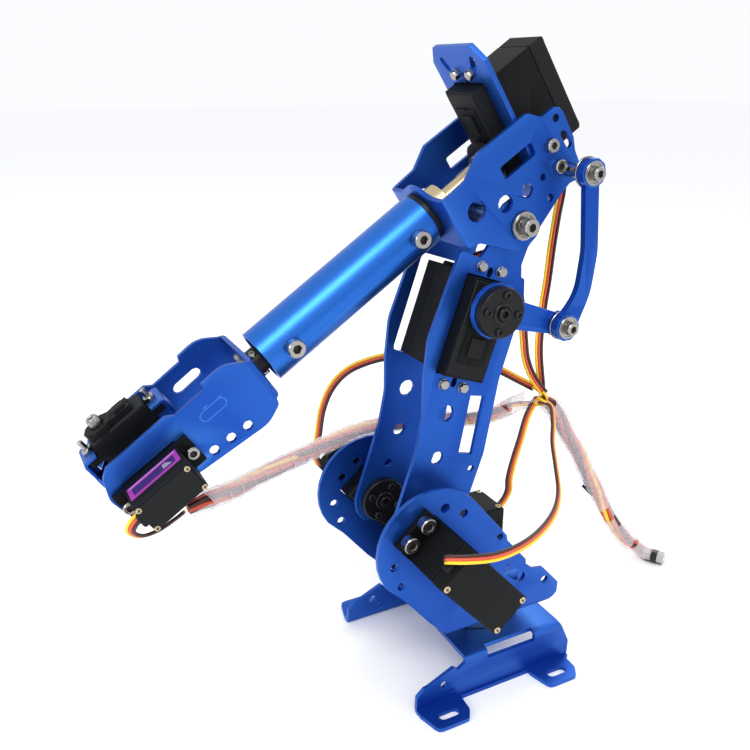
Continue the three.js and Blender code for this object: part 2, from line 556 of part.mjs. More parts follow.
// Wrist frame: as the forearm frame, with its origin on the tube axis at the tube's end.
const wrist = frame(forearm, V(tubeEnd, 0, FOREARM.tubeW));
const wristAxis = frame(wrist, V(0, 0, 0), V(0, 0, -1), AXES.x);
add(wristAxis, "wrist_coupler", turned([
  [0, -14], [TUBE.bore - FIT, -14], [TUBE.bore - FIT, -3], [5.4, -3],
  [5.4, WRIST.webU - FIT], [0, WRIST.webU - FIT],
], 20), "horn");

function wristBracket() {
  const { sideY, webU, pitchU, pitchW } = WRIST;
  const inner = sideY - SHEET;
  const channel = upright(outline([
    [webU, sideY, FOLD], [webU, -sideY, FOLD], [80, -sideY], [80, -inner],
    [webU + SHEET, -inner], [webU + SHEET, inner], [80, inner], [80, sideY],
  ]), -18, 20);
  const side = sideways(outline([
    [webU - 1, -7.3], [8.8, -8.7], [9.4, -11, 2], [16.6, -14.3, 12], [45.1, -11], [70, -6, 6],
    [74.6, -4.3, 8], [75.3, 4.2, 6], [71.8, 11.9, 4], [68.4, 14.5], [42.4, 14.9],
    [39.7, 12.7], [26.6, 13.1], [25.7, 15.3], [16, 15.8, 14], [9, 10.4, 3], [webU - 1, 9.3],
  ]), -sideY - 1, sideY + 1);
  const middle = pitchU - MICRO.offset;
  const nearCuts = [
    rectangle(middle, pitchW, MICRO.length + 0.8, MICRO.width + 0.8), circle(23, -9.2, 2),
    circle(30.3, -8.5, 2), circle(37.7, -7.8, 2),
    ...[-1, 1].map((end) => circle(middle + end * MICRO.holeSpan / 2, pitchW, 0.9)),
  ].map((shape) => sideways(shape, inner - 1, sideY + 1));
  const farCuts = [slot(29, 5.2, 13, 4.4, -2), circle(pitchU, pitchW, 2.4)]
    .map((shape) => sideways(shape, -sideY - 1, 1 - inner));
  return cut(channel.intersect(side), ...nearCuts, ...farCuts);
}
add(wrist, "wrist_bracket", wristBracket(), "anodised");
const pitchBaseY = WRIST.sideY + FIT + MICRO.flangeZ + MICRO.flangeT;
addServo(frame(wrist, V(WRIST.pitchU, pitchBaseY, WRIST.pitchW), AXES.x, V(0, -1, 0)),
  "pitch", MICRO);

// ---------------------------------------------------------------- tool cradle (wrist pitch body)
const CRADLE = { sheet: 1.2, halfY: 7.7, rearU: 38.6, frontU: 75, floorW: -6, tabW: 16.2 };
const toolFlangeTop = TOOL_SERVO.baseW + MICRO.flangeZ + MICRO.flangeT;

function toolCradle() {
  const { sheet, halfY, rearU, frontU, floorW } = CRADLE;
  const tab = toolFlangeTop + FIT;
  const loop = sideways(outline([
    [rearU, floorW, 1], [frontU, floorW, 1], [frontU, tab + sheet, 1.8], [69.2, tab + sheet],
    [69.2, tab], [frontU - sheet, tab, 0.6], [frontU - sheet, floorW + sheet],
    [rearU + sheet, floorW + sheet], [rearU + sheet, tab, 0.6], [44.8, tab],
    [44.8, tab + sheet], [rearU, tab + sheet, 1.8],
  ]), -halfY, halfY);
  const cheeks = [1, -1].map((s) => sideways(outline([
    [50, floorW + 0.5], [74, floorW + 0.5], [74, 4, 2], [68, 8, 3], [58, 8, 3], [50, 2, 2],
  ]), Math.min(s * halfY, s * (halfY - sheet)), Math.max(s * halfY, s * (halfY - sheet))));
  const trims = [1, -1].map((s) => box(30, 80, Math.min(s * 6.6, s * 9), Math.max(s * 6.6, s * 9),
    9, 20));
  const boltHoles = [-1, 1].map((end) => upright(
    circle(TOOL_SERVO.u - MICRO.offset + end * MICRO.holeSpan / 2, 0, 1.2), 10, 20));
  const pivotHole = sideways(circle(WRIST.pitchU, WRIST.pitchW, 2.3), -9, -5);
  const hornHole = sideways(circle(WRIST.pitchU, WRIST.pitchW, 1.4), 5, 9);
  return cut(join(loop, ...cheeks), ...trims, ...boltHoles, pivotHole, hornHole);
}
add(wrist, "tool_cradle", toolCradle(), "anodised");
const pitchSeat = frame(wrist, V(WRIST.pitchU, 0, WRIST.pitchW), AXES.x, AXES.y);
const pitchBossY = pitchBaseY - MICRO.bossTop;
add(pitchSeat, "pitch_horn", turned([
  [0, CRADLE.halfY + FIT], [6.5, CRADLE.halfY + FIT], [6.5, pitchBossY - FIT],
  [MICRO.shaftR, pitchBossY - FIT], [MICRO.shaftR, pitchBossY + MICRO.boreDepth - 0.5],
  [0, pitchBossY + MICRO.boreDepth - 0.5],
], 16), "horn");
add(pitchSeat, "tool_pivot_bolt", turned([
  [0, -20.6], [3.4, -20.6], [3.4, -WRIST.sideY - FIT], [ELBOW_BOLT_R, -WRIST.sideY - FIT],
  [ELBOW_BOLT_R, -6.6], [0, -6.6],
], 16), "steel");
const toolSeat = frame(wrist, V(TOOL_SERVO.u, 0, TOOL_SERVO.baseW));
addServo(toolSeat, "tool", MICRO);
add(toolSeat, "tool_spline_shaft", turned([
  [0, MICRO.bossTop - MICRO.boreDepth + 0.5], [MICRO.shaftR, MICRO.bossTop - MICRO.boreDepth + 0.5],
  [MICRO.shaftR, 28.9], [MICRO.shaftR - 0.4, 29.3], [0, 29.3],
], 16), "steel");

// ---------------------------------------------------------------- centring
robot.updateMatrixWorld(true);
const bounds = new THREE.Box3().setFromObject(robot);
const centre = bounds.getCenter(V(0, 0, 0));
robot.position.set(-centre.x, -centre.y, -bounds.min.z);

// ---------------------------------------------------------------- cords
// Flat three-wire servo leads, and looms of leads inside spiral wrap. Routes are drawn about the
// yaw axis. They all meet behind the upper arm and run down the main harness to its plug.
const LEAD = 3.2;
const LOOM = 7.4;
const HARNESS = 8.8;
const STEP_DIAMETERS = 2.5;
const CORD_SIDES = 8;

function cordSolid(points, diameter) {
  const route = new THREE.CatmullRomCurve3(points.map((p) => V(...p)), false, "centripetal");
  const section = new THREE.Shape(new THREE.EllipseCurve(
    0, 0, diameter / 2, diameter / 2).getPoints(CORD_SIDES));
  const steps = Math.max(2, Math.round(route.getLength() / diameter / STEP_DIAMETERS));
  return toSolid(new THREE.ExtrudeGeometry(section, {
    extrudePath: route, steps, bevelEnabled: false,
  }));
}

const cords = {
  lead_shoulder_left: [LEAD, [
    [49.1, 53, 88.8], [50.5, 57.5, 92], [46, 62.5, 93.5], [34, 64, 92], [20, 61, 90.5], [3, 53, 89],
    [-11, 44, 90], [-19, 36, 93], [-24, 27, 100], [-28, 19, 107], [-34, 11, 113], [-36, 6, 119],
    [-32.8, 3.6, 121.2],
  ]],
  lead_shoulder_right: [LEAD, [
    [55.5, -54, 82.5], [58, -52, 90], [57, -50, 102], [55.5, -48, 115], [52, -44, 127],
    [46, -40, 135], [37, -35, 140], [28, -29, 143], [13, -23, 145], [-4, -18, 142], [-17, -10, 135],
    [-27, -5, 129], [-33, -3.6, 125.4],
  ]],
  lead_yaw: [LEAD, [
    [-11, 0, 69], [-15, 0, 69.5], [-18.5, 1, 76], [-18, 2, 84], [-20, 2, 93], [-23, 2, 103],
    [-27, 1, 114], [-31.6, 0, 120.2],
  ]],
  lead_elbow: [LEAD, [
    [4.7, -6, 185.8], [3.4, -5.4, 189.4], [-2, -1, 192], [-9, 3, 187], [-14, 5, 176],
    [-18, 4, 163], [-20.5, 3, 152], [-23, 2, 143], [-27.5, 2, 133.5], [-33.5, 3.8, 125],
  ]],
  lead_roll: [LEAD, [
    [-33.4, 0, 239.5], [-35, 0, 232], [-37.5, 0, 218], [-36, 0, 206], [-34.5, 0, 192],
    [-33.5, 0, 178], [-32, 0, 164], [-31.5, 0, 146], [-34.6, 0, 126.5],
  ]],
  lead_pitch: [LEAD, [
    [155.8, 30, 124.5], [158.5, 30, 122.3], [159.5, 28.5, 118.5], [156, 27, 115], [150, 26, 115],
    [144.5, 26, 117.5], [140.5, 26.6, 120.2],
  ]],
  gripper_loom_end: [LOOM, [
    [139.2, 26.7, 120.9], [134, 25.6, 121.8], [127, 22, 120.8], [117, 14, 118], [107, 6, 116],
    [97, 0, 115], [87, -6, 114],
  ]],
  gripper_loom: [LOOM, [
    [86.5, -6.3, 113.95], [76, -12, 113], [66, -16, 113], [56, -20, 113], [43, -23, 113],
    [18, -23.3, 110.5], [2, -21.7, 109], [-9, -14, 110.5], [-18, -8.5, 114], [-23, -7, 116.5],
  ]],
  harness_main: [HARNESS, [
    [-37.2, -0.4, 119.4], [-43, -2, 115], [-50, -4, 107], [-58, -7, 96], [-70, -10, 81],
    [-80, -13, 66], [-90, -15, 52], [-99, -16, 37], [-110, -17, 22], [-119, -16.5, 11.5],
    [-125, -14.4, 6.6],
  ]],
};
for (const [name, [diameter, points]] of Object.entries(cords)) {
  add(robot, name, cordSolid(points, diameter), diameter === LEAD ? "wires" : "wrap");
}
const PLUG = { length: 12, width: 9, height: 6.4, x: -127.6, y: -11, tilt: 122 };
const plugSeat = frame(robot, V(PLUG.x, PLUG.y, FIT), V(
  Math.cos(radians(PLUG.tilt)), Math.sin(radians(PLUG.tilt)), 0));
add(plugSeat, "harness_plug", box(0.4, PLUG.length, -PLUG.width / 2, PLUG.width / 2, 0,
  PLUG.height), "plastic");

export default robot;
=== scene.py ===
"""Looks for the desktop servo arm: camera and light, cords, fasteners, servo details, materials.

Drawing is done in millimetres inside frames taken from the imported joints, and each mesh is
written in metres in the row frame.
"""
import json
import math

import bpy
from mathutils import Matrix, Vector


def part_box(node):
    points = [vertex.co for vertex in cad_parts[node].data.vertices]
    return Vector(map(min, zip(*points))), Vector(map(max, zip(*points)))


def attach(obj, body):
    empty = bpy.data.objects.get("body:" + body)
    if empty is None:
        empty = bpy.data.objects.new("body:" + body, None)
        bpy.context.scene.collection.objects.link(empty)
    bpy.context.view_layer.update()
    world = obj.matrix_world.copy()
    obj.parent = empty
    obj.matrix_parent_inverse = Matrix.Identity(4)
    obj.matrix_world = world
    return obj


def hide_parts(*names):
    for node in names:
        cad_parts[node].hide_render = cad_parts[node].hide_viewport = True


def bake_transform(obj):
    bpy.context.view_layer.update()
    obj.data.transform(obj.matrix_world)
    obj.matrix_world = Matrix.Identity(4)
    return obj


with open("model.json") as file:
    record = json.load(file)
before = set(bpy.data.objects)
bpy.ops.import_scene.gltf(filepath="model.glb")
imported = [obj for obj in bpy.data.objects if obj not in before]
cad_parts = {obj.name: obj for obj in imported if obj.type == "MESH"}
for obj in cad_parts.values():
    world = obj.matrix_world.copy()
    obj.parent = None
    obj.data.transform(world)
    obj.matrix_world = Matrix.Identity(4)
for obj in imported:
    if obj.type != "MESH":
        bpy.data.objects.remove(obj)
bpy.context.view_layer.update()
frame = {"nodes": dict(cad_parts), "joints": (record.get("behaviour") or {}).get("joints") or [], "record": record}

MM = 0.001
UP = Vector((0, 0, 1))
LEFT = Vector((0, 1, 0))
HERE = Matrix.Identity(4)              # parts already drawn in the row frame
CORNERS = [(i, j) for i in (-1, 1) for j in (-1, 1)]

# ------------------------------------------------------------------ frames from the joints
PIVOT = {j["name"]: Vector(j["pos_m"]) / MM for j in frame["joints"]}
ROLL_AXIS = Vector(next(j["axis"] for j in frame["joints"] if j["name"] == "forearm_roll"))
YAW_X = PIVOT["yaw"].x


def in_side(angle):
    """A direction in the XZ plane, in degrees from +X towards +Z."""
    return Vector((math.cos(math.radians(angle)), 0, math.sin(math.radians(angle))))


def placed(origin, x_axis=Vector((1, 0, 0)), z_axis=UP):
    """A frame in millimetres with its X and Z axes along the given directions."""
    x, z = x_axis.normalized(), z_axis.normalized()
    rotation = Matrix((x, z.cross(x), z)).transposed()
    return Matrix.Translation(origin) @ rotation.to_4x4()


def side_frame(origin, angle):
    return placed(origin, in_side(angle), in_side(angle + 90))


ARM_LINE = PIVOT["elbow"] - PIVOT["shoulder"]
ARM_LEAN = math.degrees(math.atan2(ARM_LINE.z, ARM_LINE.x))
TILT = math.degrees(math.atan2(ROLL_AXIS.z, ROLL_AXIS.x))
TUBE_END = 108.3                       # from the tube axis origin to the tube's lower end
SERVO_LEAN = 47.9                      # shoulder servos
ELBOW_SERVO_U = 90.35                  # middle of the elbow servo, along the arm
ROLL_SERVO_W = 31.2                    # middle of the roll servo, across the forearm

BASE = placed(Vector((YAW_X, 0, 0)))
ARM = side_frame(PIVOT["shoulder"], ARM_LEAN)
FOREARM = side_frame(PIVOT["elbow"], TILT)
TUBE = placed(PIVOT["forearm_roll"], in_side(TILT - 90), ROLL_AXIS)
WRIST = side_frame(PIVOT["forearm_roll"] + ROLL_AXIS * TUBE_END, TILT)

# Servo frames: origin on the output axis at the underside, Z towards the shaft, X to the shaft end.
STANDARD = {"length": 40.7, "width": 19.7, "offset": 10.2, "cover": 7.5, "flange": 26.6,
            "flange_t": 2.5, "hole_span": 49.5, "top": 36.8, "boss": 38.3, "lead_z": 4.6}
MICRO = {"length": 22.8, "width": 12.2, "offset": 5.4, "cover": 4.4, "flange": 15.9,
         "flange_t": 2.5, "hole_span": 28.0, "top": 22.5, "boss": 25.7, "lead_z": 2.6}
SHOULDER = PIVOT["shoulder"]
SERVOS = {
    "shoulder_left": (placed(SHOULDER + 60 * LEFT, in_side(SERVO_LEAN), -LEFT), STANDARD, "turret"),
    "shoulder_right": (placed(SHOULDER - 60 * LEFT, in_side(SERVO_LEAN), LEFT), STANDARD, "turret"),
    "yaw": (placed(Vector((YAW_X, 0, 74.5)), Vector((-1, 0, 0)), -UP), STANDARD, "turret"),
    "elbow": (placed(PIVOT["elbow_crank"] - 13.9 * LEFT, in_side(ARM_LEAN), LEFT), STANDARD,
              "upper_arm"),
    "roll": (placed(PIVOT["forearm_roll"] - 48.4 * ROLL_AXIS, in_side(TILT - 90), ROLL_AXIS),
             STANDARD, "forearm"),
    "pitch": (placed(PIVOT["wrist_pitch"] + 36 * LEFT, in_side(TILT), -LEFT), MICRO, "wrist"),
    "tool": (placed(PIVOT["tool_spin"], in_side(TILT), in_side(TILT + 90)), MICRO, "tool_mount"),
}


# ------------------------------------------------------------------ materials
def material(name, color, roughness, metallic=0.0, grain=(900, 0.05), second=None, edge=None,
             alpha=1.0, coat=0.0, spread=0.06, shine=0.5):
    """A procedural finish: colour varied by noise, edges lightened as a painted highlight, and a fine grain in the
    bump.
    """
    made = bpy.data.materials.new(name)
    made.use_nodes = True
    nodes, links = made.node_tree.nodes, made.node_tree.links
    shader = nodes["Principled BSDF"]
    shader.inputs["Metallic"].default_value = metallic
    shader.inputs["Coat Weight"].default_value = coat
    shader.inputs["Alpha"].default_value = alpha
    shader.inputs["Specular IOR Level"].default_value = shine
    place = nodes.new("ShaderNodeTexCoord")
    tint = nodes.new("ShaderNodeTexNoise")
    tint.inputs["Scale"].default_value = 60
    tint.inputs["Detail"].default_value = 4
    links.new(place.outputs["Object"], tint.inputs["Vector"])
    mix = nodes.new("ShaderNodeMix")
    mix.data_type = "RGBA"
    mix.inputs[6].default_value = (*color, 1)
    mix.inputs[7].default_value = (*(second or [c * 0.82 for c in color]), 1)
    links.new(tint.outputs["Fac"], mix.inputs[0])
    last = mix.outputs[2]
    # Painted highlight: convex edges, found by pointiness, are coloured lighter to stand in for the light they
    # catch.
    if edge:
        geometry = nodes.new("ShaderNodeNewGeometry")
        ramp = nodes.new("ShaderNodeValToRGB")
        ramp.color_ramp.elements[0].position = 0.52
        ramp.color_ramp.elements[1].position = 0.62
        links.new(geometry.outputs["Pointiness"], ramp.inputs["Fac"])
        edge_highlight = nodes.new("ShaderNodeMix")
        edge_highlight.data_type = "RGBA"
        links.new(ramp.outputs["Color"], edge_highlight.inputs[0])
        links.new(last, edge_highlight.inputs[6])
        edge_highlight.inputs[7].default_value = (*edge, 1)
        last = edge_highlight.outputs[2]
    links.new(last, shader.inputs["Base Color"])
    fine = nodes.new("ShaderNodeTexNoise")
    fine.inputs["Scale"].default_value = grain[0]
    fine.inputs["Detail"].default_value = 3
    links.new(place.outputs["Object"], fine.inputs["Vector"])
    level = nodes.new("ShaderNodeMapRange")
    level.inputs["To Min"].default_value = max(0.02, roughness - spread)
    level.inputs["To Max"].default_value = roughness + spread
    links.new(fine.outputs["Fac"], level.inputs["Value"])
    links.new(level.outputs["Result"], shader.inputs["Roughness"])
    bump = nodes.new("ShaderNodeBump")
    bump.inputs["Strength"].default_value = grain[1]
    bump.inputs["Distance"].default_value = 0.0003
    links.new(fine.outputs["Fac"], bump.inputs["Height"])
    links.new(bump.outputs["Normal"], shader.inputs["Normal"])
    return made


# The edge colours below are painted highlights laid on the edges.
FINISH = {
    "blue": material("blue_anodised", (0.006, 0.068, 0.40), 0.38, 0.80, (2600, 0.12),
                     second=(0.005, 0.056, 0.35), edge=(0.04, 0.18, 0.62)),
    "tube": material("tube_anodised", (0.006, 0.10, 0.50), 0.31, 0.88, (2200, 0.18),
                     second=(0.005, 0.085, 0.44), edge=(0.06, 0.24, 0.7)),
    "plastic": material("black_plastic", (0.0030, 0.0035, 0.0042), 0.55, 0.0, (1800, 0.20),
                        second=(0.0020, 0.0024, 0.003), edge=(0.010, 0.011, 0.012), shine=0.12),
    "gloss": material("black_gloss", (0.006, 0.006, 0.007), 0.24, 0.0, (900, 0.06), shine=0.4),
    "horn": material("black_horn", (0.004, 0.004, 0.005), 0.38, 0.1, (1500, 0.10),
                     edge=(0.018, 0.018, 0.020), shine=0.25),
    "steel": material("steel", (0.40, 0.385, 0.365), 0.28, 1.0, (1200, 0.10),
                      second=(0.30, 0.29, 0.275)),
    # Painted shade: the dark finish of the slabs set in screw sockets.
    "painted_socket_shade": material("painted_socket_shade", (0.03, 0.029, 0.028), 0.45, 0.6, (1200, 0.08)),
    "brass": material("brass", (0.62, 0.52, 0.33), 0.28, 1.0, (1200, 0.08),
                      second=(0.50, 0.41, 0.25)),
    "yellow": material("wire_yellow", (0.95, 0.62, 0.03), 0.42, 0.0, (700, 0.12),
                       second=(0.90, 0.54, 0.02)),
    "red": material("wire_red", (0.68, 0.10, 0.05), 0.42, 0.0, (700, 0.12),
                    second=(0.60, 0.07, 0.035)),
    "brown": material("wire_brown", (0.045, 0.018, 0.014), 0.42, 0.0, (700, 0.12),
                      second=(0.032, 0.012, 0.010)),
    "wrap": material("spiral_wrap", (0.90, 0.86, 0.88), 0.30, 0.0, (300, 0.10), alpha=0.24,
                     second=(0.86, 0.78, 0.80)),
    "wrap_edge": material("spiral_wrap_edge", (0.95, 0.95, 0.96), 0.30, 0.0, (300, 0.05),
                          alpha=0.6),
    "sleeve": material("clear_sleeve", (0.90, 0.87, 0.88), 0.30, 0.0, (300, 0.08), alpha=0.5),
    "magenta": material("label_magenta", (0.34, 0.035, 0.30), 0.20, 0.0, (500, 0.03), coat=0.4,
                        second=(0.26, 0.025, 0.28)),
    "violet": material("label_violet", (0.045, 0.012, 0.085), 0.20, 0.0, (500, 0.03), coat=0.4),
    "silver": material("label_silver", (0.55, 0.50, 0.58), 0.30, 0.3, (500, 0.03)),
}


# ------------------------------------------------------------------ mesh making
def hexagon(corner):
    """Radius of a hexagon at an angle."""
    def radius(angle):
        turn = (angle + math.pi / 6) % (math.pi / 3) - math.pi / 6
        return corner * math.cos(math.pi / 6) / math.cos(turn)
    return radius


def cross(reach, half_width):
    """Radius of a cross-shaped recess at an angle."""
    def radius(angle):
        turn = (angle + math.pi / 4) % (math.pi / 2) - math.pi / 4
        return min(reach / math.cos(turn), half_width / max(1e-6, abs(math.sin(turn))))
    return radius


def knurled(radius, depth=0.09, count=30):
    def at(angle):
        return radius - depth * (0.5 + 0.5 * math.cos(count * angle))
    return at


def stack(loops, sides=24):
    """A closed turned shape: (radius or function of angle, height) from bottom to top."""
    verts, faces = [], []
    for radius, height in loops:
        for i in range(sides):
            angle = 2 * math.pi * i / sides
            r = radius(angle) if callable(radius) else radius
            verts.append(Vector((r * math.cos(angle), r * math.sin(angle), height)))
    for k in range(len(loops) - 1):
        for i in range(sides):
            a, b = k * sides + i, k * sides + (i + 1) % sides
            faces.append((a, b, b + sides, a + sides))
    faces.append(tuple(range(sides))[::-1])
    faces.append(tuple(range((len(loops) - 1) * sides, len(loops) * sides)))
    return verts, faces


def slab(length, width, height, chamfer=0.3):
    """A block on z = 0 with its top edges chamfered."""
    verts = []
    for inset, z in ((0, 0), (0, height - chamfer), (chamfer, height)):
        x, y = length / 2 - inset, width / 2 - inset
        verts += [Vector((-x, -y, z)), Vector((x, -y, z)), Vector((x, y, z)), Vector((-x, y, z))]
    faces = [(3, 2, 1, 0), (8, 9, 10, 11)]
    for k in (0, 4):
        faces += [(k + i, k + (i + 1) % 4, k + 4 + (i + 1) % 4, k + 4 + i) for i in range(4)]
    return verts, faces


def smooth(points, per_step=8):
    """A centripetal Catmull-Rom curve through the points."""
    p = [Vector(q) for q in points]
    p = [2 * p[0] - p[1]] + p + [2 * p[-1] - p[-2]]
    made = []
    for a, b, c, d in zip(p, p[1:], p[2:], p[3:]):
        t = [0.0]
        for q, r in ((a, b), (b, c), (c, d)):
            t.append(t[-1] + max(1e-6, (r - q).length) ** 0.5)
        for k in range(per_step):
            u = t[1] + (t[2] - t[1]) * k / per_step

            def mid(q, r, i, j):
                return q * (t[j] - u) / (t[j] - t[i]) + r * (u - t[i]) / (t[j] - t[i])
            ab, bc, cd = mid(a, b, 0, 1), mid(b, c, 1, 2), mid(c, d, 2, 3)
            made.append(mid(mid(ab, bc, 0, 2), mid(bc, cd, 1, 3), 1, 2))
    return made + [p[-2]]


def carried(route, across):
    """(point, tangent, across, up) along a route, with the across direction carried along."""
    frames = []
    tangent = (route[1] - route[0]).normalized()
    side = (across - across.dot(tangent) * tangent).normalized()
    for i, point in enumerate(route):
        ahead = route[min(i + 1, len(route) - 1)] - route[max(i - 1, 0)]
        turned = tangent.rotation_difference(ahead.normalized())
        side = turned @ side
        tangent = ahead.normalized()
        side = (side - side.dot(tangent) * tangent).normalized()
        frames.append((point, tangent, side, tangent.cross(side)))
    return frames


def lengths(route):
    total = [0.0]
    for a, b in zip(route, route[1:]):
        total.append(total[-1] + (b - a).length)
    return total


def strand(frames, offset, radius, sides=8):
    """A closed tube beside a route; offset gives its place across and up at each step."""
    verts, faces = [], []
    for i, (point, _, side, up) in enumerate(frames):
        x, y = offset(i)
        middle = point + side * x + up * y
        for k in range(sides):
            angle = 2 * math.pi * k / sides
            verts.append(middle + radius * (math.cos(angle) * side + math.sin(angle) * up))
    for i in range(len(frames) - 1):
        for k in range(sides):
            a, b = i * sides + k, i * sides + (k + 1) % sides
            faces.append((a, b, b + sides, a + sides))
    faces.append(tuple(range(sides))[::-1])
    faces.append(tuple(range(len(verts) - sides, len(verts))))
    return verts, faces


def piece(name, parts, finishes, body=None, sharp=35):
    """Writes one object from (verts, faces, frame, finish index) parts drawn in millimetres."""
    verts, faces, kinds = [], [], []
    for part_verts, part_faces, place, kind in parts:
        first = len(verts)
        verts += [(place @ v) * MM for v in part_verts]
        faces += [tuple(first + i for i in f) for f in part_faces]
        kinds += [kind] * len(part_faces)
    mesh = bpy.data.meshes.new(name)
    mesh.from_pydata(verts, [], faces)
    for finish in finishes:
        mesh.materials.append(FINISH[finish])
    mesh.polygons.foreach_set("material_index", kinds)
    mesh.polygons.foreach_set("use_smooth", [True] * len(faces))
    mesh.set_sharp_from_angle(angle=math.radians(sharp))
    made = bpy.data.objects.new(name, mesh)
    bpy.context.scene.collection.objects.link(made)
    if body:
        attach(made, body)
    return made


def seat(place, x, y, z, direction=UP):
    """A frame at a point of another, with its Z along a direction of that frame."""
    turn = UP.rotation_difference(Vector(direction)).to_matrix().to_4x4()
    return place @ Matrix.Translation((x, y, z)) @ turn


# ------------------------------------------------------------------ fasteners
def cap_head(radius, height, hexagon_corner):
    """A socket head: knurled side, chamfered rim, hexagon recess."""
    socket = hexagon(hexagon_corner)
    wide = hexagon(hexagon_corner + 0.2)
    return stack([
        (radius - 0.25, 0), (knurled(radius), 0.25), (knurled(radius), height - 0.55),
        (radius, height - 0.45), (radius - 0.35, height), (wide, height), (socket, height - 0.25),
        (socket, height * 0.4), (0.05, height * 0.36),
    ], 60)


def pan_head(radius, height, depth=0.7):
    """A domed head with a cross recess."""
    arm, wide = cross(radius * 0.62, radius * 0.13), cross(radius * 0.68, radius * 0.17)
    return stack([
        (radius, 0), (radius, height * 0.35), (radius * 0.94, height * 0.7), (wide, height),
        (arm, height - 0.12), (arm, height - depth), (0.03, height - depth - 0.1),
    ], 48)


def hex_head(corner, height):
    """A small hexagon bolt head with a washer face."""
    return stack([
        (corner * 1.02, 0), (corner * 1.02, 0.25), (hexagon(corner), 0.3),
        (hexagon(corner), height - 0.3), (corner * 0.8, height), (corner * 0.35, height + 0.05),
    ], 36)


def washer(inner, outer, height):
    """A flat ring with rounded rims, drawn as a ring-shaped stack."""
    loops = [(inner, 0), (outer - 0.15, 0), (outer, 0.15), (outer, height - 0.15),
             (outer - 0.15, height), (inner, height)]
    verts, faces = stack(loops, 36)
    faces = faces[:-2]
    last = len(loops) - 1
    faces += [(last * 36 + i, last * 36 + (i + 1) % 36, (i + 1) % 36, i) for i in range(36)]
    return verts, faces


def bearing(bore, outer, height):
    """The face of a small flanged ball bearing: flange, shield groove and inner race."""
    return stack([
        (outer - 0.2, 0), (outer, 0.2), (outer, height - 0.15), (outer - 0.15, height),
        (outer - 0.9, height), (outer - 1.0, height - 0.3), (bore + 1.0, height - 0.3),
        (bore + 0.9, height + 0.15), (bore, height + 0.15), (bore - 0.05, height - 0.2),
    ], 40)


def recess(corner, depth):
    """Painted shade: a dark hexagon slab at the bottom of a hexagon socket."""
    return stack([(hexagon(corner), depth), (hexagon(corner), depth + 0.3)], 36)


def group(name, body, shape, seats, finish="steel", socket=None):
    """Several copies of one fastener on one body, as one object."""
    parts = [(*shape, place, 0) for place in seats]
    if socket:
        # Painted shade: a dark slab in each screw's socket.
        parts += [(*recess(*socket), place, 1) for place in seats]
        return piece(name, parts, [finish, "painted_socket_shade"], body)
    return piece(name, parts, [finish], body)


def nut_end(corner, height, stud_radius, stud):
    """A hexagon nut with the screw's end standing out of it."""
    nut = hexagon(corner)
    return stack([
        (corner * 0.86, 0), (nut, 0.3), (nut, height - 0.3), (corner * 0.84, height),
        (stud_radius + 0.15, height), (stud_radius, height + 0.1),
        (stud_radius, height + stud - 0.3), (stud_radius - 0.35, height + stud),
    ], 36)


# ------------------------------------------------------------------ camera, floor and light
def add_camera():
    """Stands in front and to the left of the arm, looking down at it."""
    turn, dip = math.radians(27.1), math.radians(20.5)
    right = Vector((-math.cos(turn), math.sin(turn), 0))
    ahead = Vector((-math.sin(turn) * math.cos(dip), -math.cos(turn) * math.cos(dip),
                    -math.sin(dip)))
    data = bpy.data.cameras.new("camera")
    data.lens = 39.17
    data.sensor_width = 36
    data.clip_start = 0.01
    camera = bpy.data.objects.new("camera", data)
    basis = Matrix((right, right.cross(ahead), -ahead)).transposed().to_4x4()
    where = BASE @ Vector((195.2, 279.4, 264.6))
    camera.matrix_world = Matrix.Translation(where * MM) @ basis
    bpy.context.scene.collection.objects.link(camera)
    bpy.context.scene.camera = camera


def add_light(name, where, size, power):
    data = bpy.data.lights.new(name, "AREA")
    data.shape = "DISK"
    data.size = size
    data.energy = power
    light = bpy.data.objects.new(name, data)
    target = Vector((0, 0, 0.12))
    light.location = where
    light.rotation_euler = (target - light.location).to_track_quat("-Z", "Y").to_euler()
    bpy.context.scene.collection.objects.link(light)


def add_floor():
    size = 6.0
    mesh = bpy.data.meshes.new("floor")
    corners = [(x * size, y * size, 0) for x, y in ((-1, -1), (1, -1), (1, 1), (-1, 1))]
    mesh.from_pydata(corners, [], [(0, 1, 2, 3)])
    mesh.materials.append(material("floor_paper", (0.97, 0.97, 0.97), 0.9, 0.0, (40, 0.01),
                                   second=(0.965, 0.965, 0.97)))
    floor = bpy.data.objects.new("floor", mesh)
    bpy.context.scene.collection.objects.link(floor)


def add_world():
    world = bpy.data.worlds.new("studio")
    world.use_nodes = True
    world.node_tree.nodes["Background"].inputs["Color"].default_value = (0.97, 0.98, 1, 1)
    world.node_tree.nodes["Background"].inputs["Strength"].default_value = 1.0
    bpy.context.scene.world = world


add_camera()
add_floor()
add_world()
add_light("key", (0.35, 0.75, 1.05), 0.5, 7)
add_light("front", (1.1, 0.25, 0.55), 0.5, 3.5)
add_light("rim", (-0.9, -0.5, 0.8), 0.6, 3.5)
bpy.context.scene.view_settings.view_transform = "Standard"


# ------------------------------------------------------------------ cords
# Routes in millimetres about the yaw axis, the same points as the CAD tubes.
LOOM_WIDTH = 7.4
HARNESS_WIDTH = 8.8
WIRE = 0.66                            # radius of one wire of a lead
WRAP_COVER = 0.95                      # width of the spiral band, as a share of its pitch

